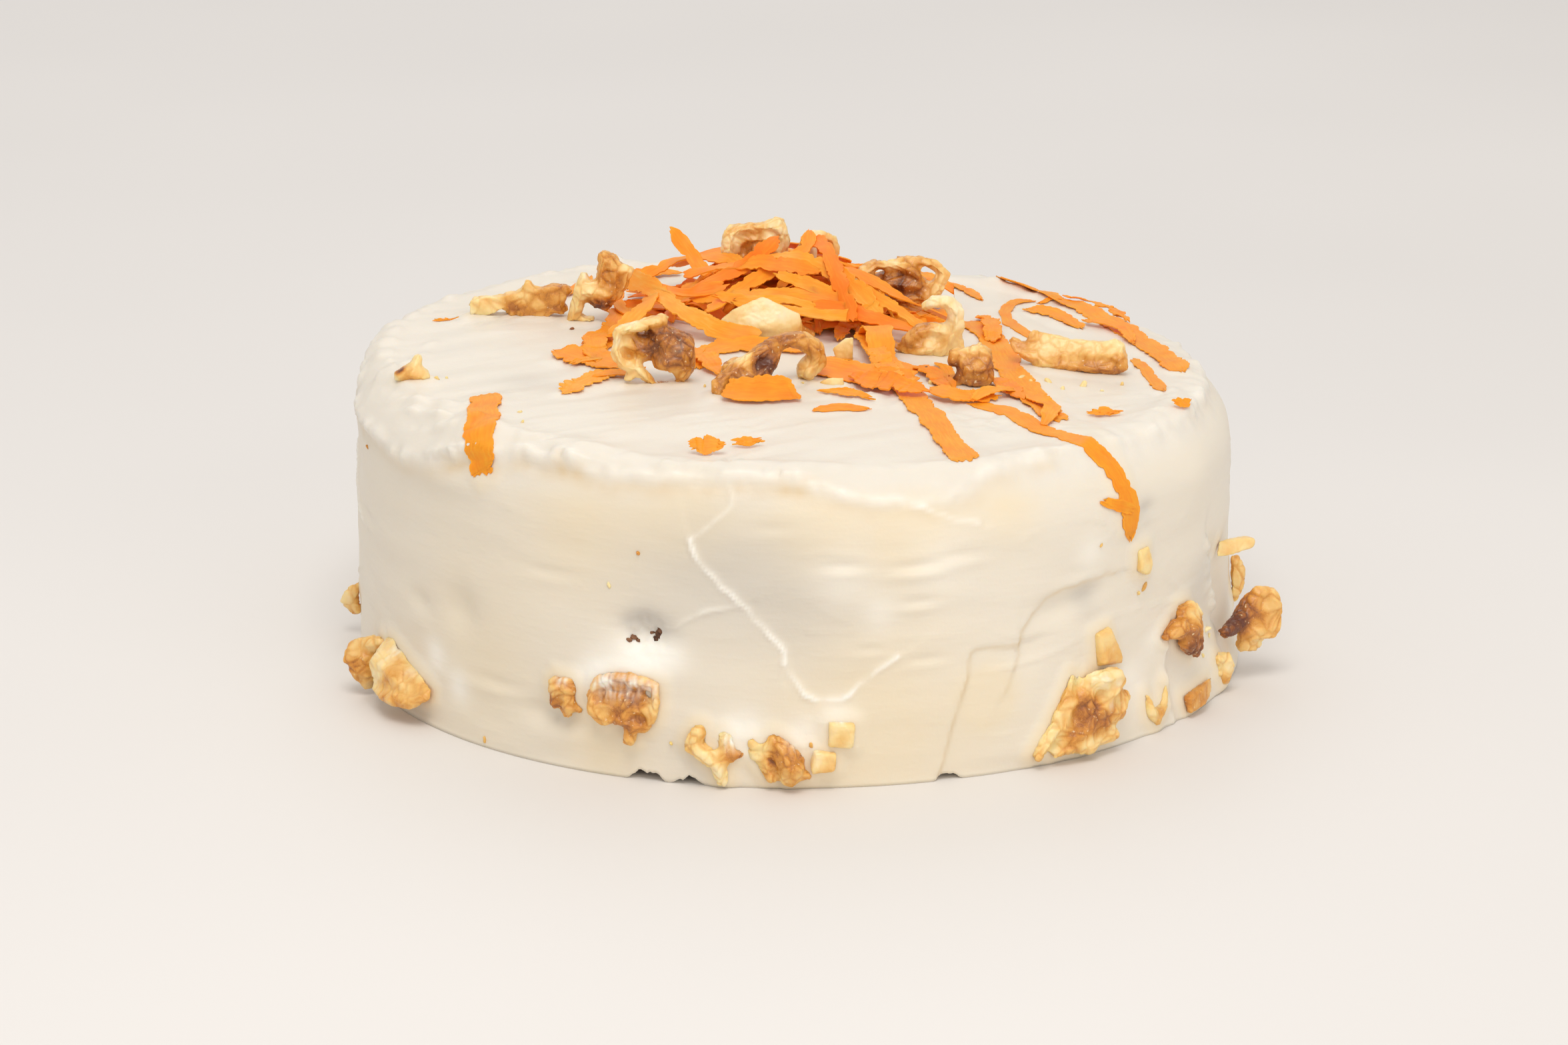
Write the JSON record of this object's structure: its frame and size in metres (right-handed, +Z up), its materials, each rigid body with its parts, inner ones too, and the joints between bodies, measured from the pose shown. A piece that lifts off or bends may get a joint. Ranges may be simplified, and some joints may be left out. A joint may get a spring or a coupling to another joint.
{
  "type": "round frosted carrot cake",
  "caption": "Whole round carrot cake under a hand-spread cream cheese coat, with a heap of carrot shreds and broken walnut kernels on top and more kernels round its foot.",
  "frame": {"origin": "middle of the sponge's flat bottom, on the cake's upright axis and on the surface it stands on", "axes": "+Z up; -Y towards the front of the cake, from where the picture was taken; +X to its right as seen from there"},
  "size_m": [0.2194, 0.2135, 0.0907],
  "materials": {
    "frosting": null,
    "sponge": null,
    "carrot": null,
    "walnut": null
  },
  "bodies": {
    "root": {"frosting": "frosting", "sponge": "sponge", "carrot_heap": "carrot", "carrot_shred_rim_left": "carrot", "carrot_shred_leaf_left": "carrot", "carrot_shred_frayed_left": "carrot", "carrot_shred_wide_left": "carrot", "carrot_shred_behind_round_kernel": "carrot", "carrot_shred_under_twisted_kernel": "carrot", "carrot_shred_thin_middle": "carrot", "carrot_shred_patch_front": "carrot", "carrot_shred_patch_middle": "carrot", "carrot_shred_long_front": "carrot", "carrot_shred_under_amber": "carrot", "carrot_shred_long_right": "carrot", "carrot_shred_long_right_front": "carrot", "carrot_shred_over_rim_right": "carrot", "carrot_shred_long_back_right": "carrot", "carrot_shred_loop_right": "carrot", "carrot_shred_short_right": "carrot", "carrot_shred_thin_right": "carrot", "walnut_top_long_left": "walnut", "walnut_top_upright_left": "walnut", "walnut_top_round_front": "walnut", "walnut_top_twisted_front": "walnut", "walnut_top_pale_middle": "walnut", "walnut_top_back_left": "walnut", "walnut_top_back_middle": "walnut", "walnut_top_back_right": "walnut", "walnut_top_horn_right": "walnut", "walnut_top_amber_right": "walnut", "walnut_top_long_right": "walnut", "walnut_top_chip_far_left": "walnut", "walnut_top_chip_front": "walnut", "walnut_top_chip_middle": "walnut", "walnut_side_edge_left": "walnut", "walnut_side_edge_left_high": "walnut", "walnut_side_flat_left": "walnut", "walnut_side_small_left": "walnut", "walnut_side_smeared": "walnut", "walnut_side_forked": "walnut", "walnut_side_curled_foot": "walnut", "walnut_side_square_chip": "walnut", "walnut_side_square_chip_low": "walnut", "walnut_side_large_right": "walnut", "walnut_side_wedge_right": "walnut", "walnut_side_narrow_right": "walnut", "walnut_side_low_right": "walnut", "walnut_side_fan_right": "walnut", "walnut_side_large_edge_right": "walnut", "walnut_side_under_edge_right": "walnut", "walnut_side_shelf_right": "walnut", "walnut_side_behind_edge_right": "walnut", "walnut_side_sliver_right": "walnut", "walnut_side_back_a": "walnut", "walnut_side_back_b": "walnut", "walnut_side_back_c": "walnut", "walnut_side_back_d": "walnut", "walnut_side_back_e": "walnut", "walnut_side_back_f": "walnut"}
  },
  "joints": []
}
